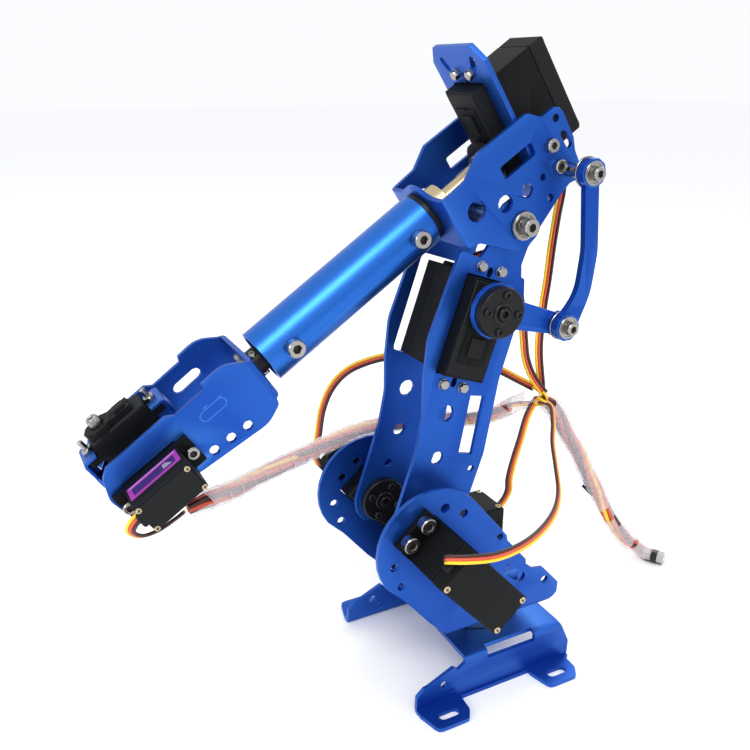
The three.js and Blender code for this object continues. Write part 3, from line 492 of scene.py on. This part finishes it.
ROUTES = {
    "lead_shoulder_left": [
        (49.1, 53, 88.8), (50.5, 57.5, 92), (46, 62.5, 93.5), (34, 64, 92), (20, 61, 90.5),
        (3, 53, 89), (-11, 44, 90), (-19, 36, 93), (-24, 27, 100), (-28, 19, 107),
        (-34, 11, 113), (-36, 6, 119), (-32.8, 3.6, 121.2)],
    "lead_shoulder_right": [
        (55.5, -54, 82.5), (58, -52, 90), (57, -50, 102), (55.5, -48, 115), (52, -44, 127),
        (46, -40, 135), (37, -35, 140), (28, -29, 143), (13, -23, 145), (-4, -18, 142),
        (-17, -10, 135), (-27, -5, 129), (-33, -3.6, 125.4)],
    "lead_yaw": [
        (-11, 0, 69), (-15, 0, 69.5), (-18.5, 1, 76), (-18, 2, 84), (-20, 2, 93), (-23, 2, 103),
        (-27, 1, 114), (-31.6, 0, 120.2)],
    "lead_elbow": [
        (4.7, -6, 185.8), (3.4, -5.4, 189.4), (-2, -1, 192), (-9, 3, 187), (-14, 5, 176),
        (-18, 4, 163), (-20.5, 3, 152), (-23, 2, 143), (-27.5, 2, 133.5), (-33.5, 3.8, 125)],
    "lead_roll": [
        (-33.4, 0, 239.5), (-35, 0, 232), (-37.5, 0, 218), (-36, 0, 206), (-34.5, 0, 192),
        (-33.5, 0, 178), (-32, 0, 164), (-31.5, 0, 146), (-34.6, 0, 126.5)],
    "lead_pitch": [
        (155.8, 30, 124.5), (158.5, 30, 122.3), (159.5, 28.5, 118.5), (156, 27, 115),
        (150, 26, 115), (144.5, 26, 117.5), (140.5, 26.6, 120.2)],
    "gripper_loom_end": [
        (139.2, 26.7, 120.9), (134, 25.6, 121.8), (127, 22, 120.8), (117, 14, 118),
        (107, 6, 116), (97, 0, 115), (87, -6, 114)],
    "gripper_loom": [
        (86.5, -6.3, 113.95), (76, -12, 113), (66, -16, 113), (56, -20, 113), (43, -23, 113),
        (18, -23.3, 110.5), (2, -21.7, 109), (-9, -14, 110.5), (-18, -8.5, 114),
        (-23, -7, 116.5)],
    "harness_main": [
        (-37.2, -0.4, 119.4), (-43, -2, 115), (-50, -4, 107), (-58, -7, 96), (-70, -10, 81),
        (-80, -13, 66), (-90, -15, 52), (-99, -16, 37), (-110, -17, 22), (-119, -16.5, 11.5),
        (-125, -14.4, 6.6)],
}
# lead: (body at its start, body at its end, direction from the brown wire to the yellow one)
LEADS = {
    "lead_shoulder_left": ("turret", "upper_arm", (0, 0, -1)),
    "lead_shoulder_right": ("turret", "upper_arm", (0.6, -0.5, 0.2)),
    "lead_yaw": ("turret", "upper_arm", (-1, 0, 0)),
    "lead_elbow": ("upper_arm", "upper_arm", (-0.6, 0.5, 0)),
    "lead_roll": ("forearm", "upper_arm", (0.85, -0.5, 0)),
    "lead_pitch": ("wrist", "wrist", (0, -0.3, 1)),
}


def about_yaw(points):
    return [BASE @ Vector(p) for p in points]


def ride_or_blend(made, start_body, end_body, route):
    """Fixes a cord to one body when it starts and ends on the same one; otherwise bakes its placement into the
    mesh and leaves it on no body.
    """
    if start_body == end_body:
        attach(made, start_body)
        return
    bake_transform(made)


def add_lead(name):
    """A flat three-wire servo lead: brown, red and yellow side by side."""
    start_body, end_body, across = LEADS[name]
    route = smooth(about_yaw(ROUTES[name]))
    frames = carried(route, Vector(across))
    parts = []
    for kind, place in enumerate((-1, 0, 1)):
        tube = strand(frames, lambda i, x=place: (x * (WIRE * 2 - 0.06), 0), WIRE)
        parts.append((*tube, HERE, kind))
    made = piece(name + "_ribbon", parts, ["brown", "red", "yellow"],
                 sharp=70)
    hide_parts(name)
    ride_or_blend(made, start_body, end_body, route)


def spiral(name, frames, distance, radius, pitch, spans):
    """A spiral-cut wrap: one band wound round the route over each span of its length."""
    verts, faces = [], []
    total = distance[-1]
    per_turn, across = 20, 4

    def at(s):
        inside = min(max(s, 0), total - 1e-6)
        i = next(k for k in range(len(distance) - 1) if distance[k + 1] > inside)
        f = (inside - distance[i]) / (distance[i + 1] - distance[i])
        point, ahead, side, up = (a.lerp(b, f) for a, b in zip(frames[i], frames[i + 1]))
        return point + ahead * (s - inside), side, up
    row = across + 1
    for first, last in spans:
        base = len(verts)
        steps = int((last - first) * total / pitch * per_turn)
        for step in range(steps + 1):
            angle = 2 * math.pi * step / per_turn
            for k in range(row):
                s = first * total + (step / per_turn + (k / across - 0.5) * WRAP_COVER) * pitch
                point, side, up = at(s)
                r = radius + 0.12 * math.sin(s / 9.0) + 0.05 * (k / across)
                verts.append(point + r * (math.cos(angle) * side + math.sin(angle) * up))
        for step in range(steps):
            for k in range(across):
                a = base + step * row + k
                faces.append((a, a + 1, a + 1 + row, a + row))
    made = piece(name, [(verts, faces, HERE, 0)], ["wrap", "wrap_edge"], sharp=70)
    shell = made.modifiers.new("thickness", "SOLIDIFY")
    shell.thickness = 0.35 * MM
    shell.offset = -1
    shell.material_offset_rim = 1
    return made


def add_loom(name, start_body, end_body, width=LOOM_WIDTH, pieces=(), pitch=8.6,
             spans=((0, 1),), gathered=(True, True)):
    """Leads in a translucent spiral wrap, gathered at the ends where they come out of it."""
    route = smooth(about_yaw(ROUTES[name]))
    frames = carried(route, LEFT)
    distance = lengths(route)
    parts = []
    for wire in range(7):
        lean = 2 * math.pi * wire / 6
        reach = width * 0.27 if wire < 6 else 0

        def offset(i, lean=lean, reach=reach):
            angle = lean + distance[i] / 26
            gather = min(1, 0.5 + distance[i] / 16 + (not gathered[0]),
                         0.5 + (distance[-1] - distance[i]) / 16 + (not gathered[1]))
            return reach * gather * math.cos(angle), reach * gather * math.sin(angle)
        tube = strand(frames, offset, width * 0.13, 7)
        parts.append((*tube, HERE, (1, 0, 1, 2, 1, 0, 1)[wire]))
    wires = piece(name + "_wires", parts, ["brown", "red", "yellow"],
                  sharp=70)
    wrap = spiral(name + "_wrap", frames, distance, width / 2 - 0.15, pitch, spans)
    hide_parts(name)
    for made in (wires, wrap):
        ride_or_blend(made, start_body, end_body, route)


def oval(half_width, half_height, length):
    """A short oval sleeve along X, resting on z = 0."""
    verts, faces = stack([(0.9, 0), (1, 0.15), (1, length - 0.15), (0.9, length)], 32)
    verts = [Vector((v.z - length / 2, v.x * half_width, (v.y + 1) * half_height))
             for v in verts]
    return verts, faces


def add_plug():
    """The harness turns along the floor and ends in a sleeved connector with a black band."""
    low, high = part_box("harness_plug")
    middle = (low + high) / 2 / MM
    tilt = math.radians(122)
    ahead = Vector((math.cos(tilt), math.sin(tilt), 0))
    place = placed(Vector((middle.x, middle.y, low.z / MM)), ahead)
    parts = [(*slab(9.6, 6.8, 4.6, 0.5), place @ Matrix.Translation((0, 0, 0.7)), 0),
             (*oval(4.5, 3.2, 3.2), place, 0)]
    for k in (-1, 0, 1):
        parts.append((*slab(0.5, 1.5, 2.2, 0.1),
                      place @ Matrix.Translation((4.85, k * 2.1, 1.9)), 1))
    housing = piece("harness_plug_housing", parts, ["gloss", "brass"], "turret")
    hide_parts("harness_plug")
    bend = smooth(about_yaw(
        [(-123.6, -15.2, 8.2), (-125.6, -14.1, 5.9), (-127.4, -11.6, 4.4), (-129.6, -8.2, 3.7)]))
    frames = carried(bend, LEFT)
    collars = [(*oval(4.25, 3.1, 4.2), place @ Matrix.Translation((-3.7, 0, 0)), 0),
               (*oval(4.25, 3.1, 4.2), place @ Matrix.Translation((3.7, 0, 0)), 0),
               (*strand(frames, lambda i: (0, 0), 3.7, 16), HERE, 0)]
    for k in range(5):
        turn = 2 * math.pi * k / 5
        wire = strand(frames, lambda i, t=turn: (2 * math.cos(t), 2 * math.sin(t)), 0.95)
        collars.append((*wire, HERE, 1 + (0, 1, 0, 2, 1)[k]))
    sleeve = piece("harness_plug_wrap", collars, ["sleeve", "brown", "red", "yellow"], "turret")
    return housing, sleeve


def add_junction():
    """Where the leads come together and enter the mouth of the harness wrap."""
    mouth = BASE @ Vector((-38.5, -0.8, 118.4))
    inside = BASE @ Vector((-42, -1.8, 115.8))
    parts = []
    ends = ("lead_shoulder_left", "lead_shoulder_right", "lead_yaw", "lead_elbow", "lead_roll",
            "gripper_loom")
    for turn, name in enumerate(ends):
        tail = about_yaw(ROUTES[name])[-2:]
        end = tail[1]
        ahead = (tail[1] - tail[0]).normalized()
        angle = 2 * math.pi * turn / len(ends)
        fan = Vector((0, math.cos(angle), math.sin(angle))) * 1.3
        route = smooth([end - ahead * 1.5, end + ahead * 1.5, mouth + fan, inside + fan * 0.7], 6)
        frames = carried(route, Vector((0.3, 1, 0.2)))
        for kind, place in enumerate((-1, 0, 1)):
            squeeze = [1.26 - 0.5 * i / (len(route) - 1) for i in range(len(route))]
            tube = strand(frames, lambda i, x=place, q=squeeze: (x * q[i], 0.3 * x), 0.62)
            parts.append((*tube, HERE, kind))
    piece("lead_junction", parts, ["brown", "red", "yellow"], "upper_arm", 70)


def add_tie_tails():
    """Two black tie tails that stand out of a gap in the harness wrap."""
    root = BASE @ Vector((-88.2, -15.6, 48.5))
    parts = []
    for spread, length in ((0, 10.5), (0.16, 8.8)):
        ahead = Vector((0.46 + spread, -0.24, 0.85 - spread)).normalized()
        place = placed(root + ahead * length / 2, ahead, Vector((-0.43, -0.83, -0.1)))
        parts.append((*slab(length, 1.5, 0.6, 0.15), place, 0))
    tails = piece("harness_tie_tails", parts, ["plastic"])
    ride_or_blend(tails, "upper_arm", "turret", smooth(about_yaw(ROUTES["harness_main"])))


def add_loom_mouth():
    """The flared end of the gripper loom's wrap, beside the point where the leads meet."""
    route = smooth(about_yaw([(-19, -8.6, 114.8), (-24.5, -6.3, 117.2), (-30.5, -3.6, 120.6)]))
    frames = carried(route, LEFT)
    made = spiral("gripper_loom_mouth", frames, lengths(route), 3.7, 6.5, ((0, 1),))
    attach(made, "upper_arm")


for lead in LEADS:
    add_lead(lead)
add_loom("gripper_loom_end", "wrist", "forearm", spans=((0.05, 1.06),),
         gathered=(True, False))
add_loom("gripper_loom", "forearm", "upper_arm", gathered=(False, True))
add_loom("harness_main", "upper_arm", "turret", HARNESS_WIDTH, add_plug(), 9.5,
         ((0, 0.72), (0.79, 0.97)))
add_junction()
add_tie_tails()
add_loom_mouth()


# ------------------------------------------------------------------ CAD nodes: edges and finish
def finish_nodes():
    """Gives every CAD node its finish, and rounds the edges of each one that is shown, with modifiers."""
    slots = {s["node"]: s["material_slot"] for s in frame["record"]["subparts"]}
    by_slot = {"blue_anodised": "blue", "black_plastic": "plastic", "black_horn": "horn",
               "steel": "steel", "brass": "brass", "spiral_wrap": "wrap",
               "wire_insulation": "red"}
    for name, node in frame["nodes"].items():
        finish = "tube" if name == "forearm_tube" else by_slot[slots[name]]
        node.data.materials.clear()
        node.data.materials.append(FINISH[finish])
        if node.hide_render:
            continue
        node.data.polygons.foreach_set("use_smooth", [True] * len(node.data.polygons))
        weld = node.modifiers.new("weld", "WELD")
        weld.merge_threshold = 1e-6
        flat = node.modifiers.new("flatten", "DECIMATE")
        flat.decimate_type = "DISSOLVE"
        flat.angle_limit = math.radians(1)
        soft = "_servo_" in name and ("case" in name or "cover" in name)
        bevel = node.modifiers.new("edges", "BEVEL")
        bevel.width = (0.5 if soft else 0.2) * MM
        bevel.segments = 3 if soft else 2
        bevel.limit_method = "ANGLE"
        bevel.angle_limit = math.radians(32)
        bevel.use_clamp_overlap = soft
        corner = node.modifiers.new("corners", "EDGE_SPLIT")
        corner.split_angle = math.radians(38)
        shade = node.modifiers.new("shade", "WEIGHTED_NORMAL")
        shade.weight = 100


# ------------------------------------------------------------------ servo details
def add_servo_details(name):
    """Cover screws, lead boot and the stepped gear housing of one servo."""
    place, size, body = SERVOS[name]
    middle = -size["offset"]
    standard = size is STANDARD
    reach_x = size["length"] / 2 - (2.0 if standard else 1.2)
    reach_y = size["width"] / 2 - (2.0 if standard else 1.3)
    radius = 1.45 if standard else 1.05
    group(name + "_cover_screws", body, pan_head(radius, 0.5, 0.45), [
        seat(place, middle + i * reach_x, j * reach_y, 0.12, -UP) for i, j in CORNERS], "brass")
    boot_w, boot_h = (6.4, 4.6) if standard else (4.6, 3.0)
    end = middle + size["length"] / 2
    boot = [(*slab(boot_w, boot_h, 1.8, 0.5),
             seat(place, end - 0.2, 0, size["lead_z"], Vector((1, 0, 0))) @
             Matrix.Rotation(math.pi / 2, 4, "Z"), 0)]
    piece(name + "_lead_boot", boot, ["plastic"], body)
    far = middle - size["length"] / 2
    step = size["boss"] - 0.35
    blocks = [(*slab(size["length"] * 0.20, size["width"] * 0.34, 1.1, 0.3),
               seat(place, far * 0.55, 0, step), 0),
              (*stack([(0.7, 0), (0.7, 0.35), (0.4, 0.45)], 16),
               seat(place, far * 0.78, 0, step), 0),
              (*slab(size["length"] * 0.96, size["width"] * 0.93, 0.7, 0.5),
               seat(place, middle, 0, size["top"] - 0.05), 0)]
    piece(name + "_gear_housing", blocks, ["plastic"], body)


def add_flange_screws():
    """Screws through the servo flanges, one kind for each seat."""
    span = STANDARD["hole_span"] / 2
    for side in ("left", "right"):
        place = SERVOS["shoulder_" + side][0]
        group(f"shoulder_{side}_flange_screws", "turret", cap_head(3.5, 4.2, 1.75), [
            seat(place, -STANDARD["offset"] + i * span, j * 5, STANDARD["flange"] - 0.05, -UP)
            for i, j in CORNERS], socket=(1.7, 1.8))
    group("elbow_flange_screws", "upper_arm", hex_head(2.2, 1.9), [
        seat(ARM, ELBOW_SERVO_U + i * span, 17.45, -6.1 + j * 5, LEFT) for i, j in CORNERS])
    group("elbow_flange_nuts", "upper_arm", nut_end(2.7, 2.0, 1.4, 1.2), [
        seat(ARM, ELBOW_SERVO_U + i * span, 12.75, -6.1 + j * 5, -LEFT) for i, j in CORNERS])
    group("roll_flange_screws", "forearm", hex_head(2.0, 2.0), [
        seat(FOREARM, -17.05, j * 5, ROLL_SERVO_W + i * span, Vector((1, 0, 0)))
        for i, j in CORNERS])
    group("roll_flange_nuts", "forearm", nut_end(2.7, 2.2, 1.5, 1.4), [
        seat(FOREARM, -21.85, j * 5, ROLL_SERVO_W + i * span, Vector((-1, 0, 0)))
        for i, j in CORNERS])
    place = SERVOS["yaw"][0]
    group("yaw_flange_screws", "turret", hex_head(2.4, 2.4), [
        seat(place, -STANDARD["offset"] + i * span, j * 5, STANDARD["flange"] - 0.05, -UP)
        for i, j in CORNERS])
    place = SERVOS["pitch"][0]
    span = MICRO["hole_span"] / 2
    group("pitch_flange_screws", "wrist", cap_head(2.4, 2.3, 1.25), [
        seat(place, -MICRO["offset"] + i * span, 0, MICRO["flange"] - 0.05, -UP)
        for i in (-1, 1)], socket=(1.2, 1.0))
    group("tool_tab_bolts", "tool_mount", nut_end(2.3, 1.7, 1.05, 3.6), [
        seat(WRIST, 56.8 + i * span, 0, 15.95) for i in (-1, 1)])


# ------------------------------------------------------------------ pivots
def frame_point(node):
    """The middle of a node's box, in millimetres."""
    low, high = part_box(node)
    return (low + high) / 2 / MM


def bolt_piece(name, body, node, place, parts):
    """A bolt made of parts along its axis: (shape, height, turned over, finish)."""
    over = Matrix.Rotation(math.pi, 4, "X")
    # Finish 1 is painted shade, used for the dark slab in the socket.
    made = piece(name, [(*shape, place @ Matrix.Translation((0, 0, z)) @
                         (over if flip else HERE), kind)
                        for shape, z, flip, kind in parts], ["steel", "painted_socket_shade"], body)
    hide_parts(node)


def pin(radius, length):
    return stack([(radius - 0.1, 0), (radius, 0.1), (radius, length - 0.1),
                  (radius - 0.1, length)], 20)


def add_pivots():
    """The elbow axle, the two linkage pivots, their bearings and washers."""
    elbow = placed(PIVOT["elbow"], in_side(ARM_LEAN), LEFT)
    bolt_piece("elbow_axle", "upper_arm", "elbow_pivot_bolt", elbow, [
        (cap_head(3.45, 4.0, 1.7), 22.6, False, 0), (recess(1.65, 1.8), 22.6, False, 1),
        (pin(2.0, 45.2), -22.6, False, 0), (nut_end(3.7, 3.2, 1.9, 0.2), -22.6, True, 0)])
    for side in (-1, 1):
        seat_frame = placed(PIVOT["elbow"], in_side(ARM_LEAN), LEFT * side)
        face = (*bearing(2.2, 5.6, 0.35), seat_frame @ Matrix.Translation((0, 0, 21.55)), 0)
        piece("elbow_bearing_face_" + ("left" if side > 0 else "right"), [face], ["steel"],
              "forearm")
    crank = placed(PIVOT["elbow_link"], in_side(0), LEFT)
    bolt_piece("crank_pivot_screw", "crank", "crank_pivot_bolt", crank, [
        (cap_head(2.75, 3.0, 1.4), 35.2, False, 0), (recess(1.35, 1.3), 35.2, False, 1),
        (pin(1.5, 8.9), 26.4, False, 0), (nut_end(2.9, 2.3, 1.5, 0.2), 27.1, True, 0)])
    link_top = frame_point("link_pivot_bolt")
    link = placed(Vector((link_top.x, 0, link_top.z)), in_side(0), LEFT)
    bolt_piece("link_pivot_screw", "forearm", "link_pivot_bolt", link, [
        (cap_head(2.75, 3.0, 1.4), 35.2, False, 0), (recess(1.35, 1.3), 35.2, False, 1),
        (pin(1.5, 19.8), 15.5, False, 0), (pin(2.9, 9.5), 20.6, False, 0),
        (nut_end(2.9, 2.3, 1.5, 0.1), 18.0, True, 0)])
    for name, place, body in (("crank", crank, "crank"), ("link", link, "forearm")):
        face = (*bearing(1.7, 4.7, 0.45), place @ Matrix.Translation((0, 0, 34.65)), 0)
        ring = (*washer(1.7, 6.1, 0.8), place @ Matrix.Translation((0, 0, 30.05)), 0)
        piece(name + "_pivot_bearing", [face, ring], ["steel"], body)


def add_tube_screws():
    """The two socket screws that clamp the forearm tube on its ends."""
    for number in (1, 2):
        node = f"tube_screw_{number}"
        middle = frame_point(node)
        place = placed(Vector((middle.x, 0, middle.z)), ROLL_AXIS, LEFT)
        bolt_piece(f"tube_cap_screw_{number}", "wrist", node, place, [
            (cap_head(3.5, 3.9, 1.75), 11.3, False, 0), (recess(1.7, 1.7), 11.3, False, 1),
            (pin(1.9, 1.8), 9.6, False, 0)])


def add_side_screws():
    """Cap screws that hold the roll servo plate between the forearm cheeks."""
    seats = [seat(FOREARM, u, side * 20.25, w, LEFT * side)
             for side in (-1, 1) for u, w in ((-25.6, 19), (-24.9, 9.8))]
    group("forearm_side_screws", "forearm", cap_head(2.7, 2.7, 1.35), seats,
          socket=(1.3, 1.2))


# ------------------------------------------------------------------ horns
def horn_seats(place, height, direction=UP):
    """Places of the four screws on a disc horn."""
    circle = 7.3
    return [seat(place, circle * math.cos(math.radians(a)), circle * math.sin(math.radians(a)),
                 height, direction) for a in (8, 98, 188, 278)]


def horn_face(name, body, place, height, direction):
    """Four screws on a disc horn and the screw in its middle."""
    group(name + "_screws", body, cap_head(1.7, 1.1, 0.85),
          horn_seats(place, height, direction), "horn")
    group(name + "_hub", body, stack([
        (4.4, 0), (4.4, 0.35), (4.1, 0.6), (3.2, 0.6), (3.0, 0.1), (2.6, 0.1), (2.6, 1.3),
        (2.3, 1.6), (hexagon(1.5), 1.6), (hexagon(1.4), 0.5), (0.05, 0.45)], 36),
        [seat(place, 0, 0, height, direction)], "horn")


def add_horns():
    crank = placed(PIVOT["elbow_crank"], in_side(ARM_LEAN), LEFT)
    horn_face("elbow_horn", "crank", crank, 33.45, UP)
    for side, name in ((1, "left"), (-1, "right")):
        place = placed(PIVOT["shoulder"], in_side(ARM_LEAN), LEFT * side)
        horn_face("shoulder_horn_" + name, "upper_arm", place, 12.45, -UP)
        group(f"shoulder_horn_{name}_bolts", "upper_arm", pan_head(1.7, 1.1),
              horn_seats(place, 17.45))


# ------------------------------------------------------------------ wrist and tool
def add_label():
    """A plain two-tone label with stripes on the pitch servo's upper side."""
    place = SERVOS["pitch"][0]
    face = MICRO["width"] / 2 + 0.02
    middle = place @ Matrix.Translation((-MICRO["offset"], 0, 9.9))
    lift = Matrix.Translation((0, 0, face))
    across = middle @ Matrix.Rotation(-math.pi / 2, 4, "X") @ lift
    if (across.to_3x3() @ UP).dot(in_side(TILT + 90)) < 0:
        across = middle @ Matrix.Rotation(math.pi / 2, 4, "X") @ lift
    parts = [(*slab(21.0, 8.2, 0.12, 0.03), across, 0),
             (*slab(17.6, 4.6, 0.2, 0.03), across @ Matrix.Translation((0, 0.4, 0)), 1)]
    for k in range(3):
        parts.append((*slab(3.4 - 0.8 * k, 0.5, 0.26, 0.03),
                      across @ Matrix.Translation((-5.6 + 0.4 * k, 1.4 - k * 1.0, 0)), 2))
    parts.append((*slab(19.6, 0.28, 0.2, 0.03), across @ Matrix.Translation((0, -3.2, 0)), 2))
    piece("pitch_servo_label", parts, ["magenta", "violet", "silver"], "wrist")


def add_spline():
    """The splined output shaft with its threaded bore."""
    low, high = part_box("tool_spline_shaft")
    place = SERVOS["tool"][0]
    teeth = 20

    def spline(angle):
        return 2.35 - 0.28 * (0.5 + 0.5 * math.cos(teeth * angle))
    shape = stack([(2.0, 24.2), (2.1, 24.3), (spline, 24.5), (spline, 28.8), (1.95, 29.25),
                   (1.1, 29.25), (0.9, 29.0), (0.9, 26.6), (0.05, 26.4)], 80)
    made = piece("tool_output_spline", [(*shape, place, 0)], ["steel"], "tool_shaft")
    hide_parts("tool_spline_shaft")


def add_coupler_screws():
    """Small screws through the coupler between the tube and the wrist bracket."""
    seats = [seat(WRIST, 4.7, 5.0 * math.sin(math.radians(a)), 5.0 * math.cos(math.radians(a)),
                  Vector((0, math.sin(math.radians(a)), math.cos(math.radians(a)))))
             for a in (35, 155, 275)]
    group("coupler_screws", "wrist", cap_head(1.5, 1.5, 0.8), seats)
    seats = [seat(WRIST, 8.65, y, z, Vector((1, 0, 0))) for y in (-4, 4) for z in (-4, 4)]
    group("wrist_web_screws", "wrist", hex_head(2.0, 1.6), seats)


def add_slot_mark():
    """An unbroken slot outline and two ticks pressed into the near wrist plate."""
    length, width, line, rise = 11.5, 4.4, 0.45, 0.14
    loops = []
    for grow, height in ((0, 0), (0, rise), (-line, rise), (-line, 0)):
        loop = []
        for i in range(32):
            angle = 2 * math.pi * (i + 0.5) / 32
            reach = width / 2 + grow
            shift = math.copysign((length - width) / 2, math.cos(angle))
            loop.append(Vector((shift + reach * math.cos(angle), reach * math.sin(angle),
                                height)))
        loops.append(loop)
    verts = [v for loop in loops for v in loop]
    faces = [(k * 32 + i, k * 32 + (i + 1) % 32, (k + 1) % 4 * 32 + (i + 1) % 32,
              (k + 1) % 4 * 32 + i) for k in range(4) for i in range(32)]
    face = placed(WRIST @ Vector((28.4, 17.28, 5.1)), in_side(TILT), LEFT)
    parts = [(verts, faces, face, 0)]
    for x, y in ((-4.4, -2.2), (1.6, -2.8)):
        parts.append((*slab(2.2, 0.5, rise, 0.05), face @ Matrix.Translation((x, y, 0)), 0))
    piece("wrist_slot_mark", parts, ["blue"], "wrist")


for servo in SERVOS:
    add_servo_details(servo)
add_flange_screws()
add_pivots()
add_tube_screws()
add_side_screws()
add_horns()
add_label()
add_spline()
add_coupler_screws()
add_slot_mark()
finish_nodes()
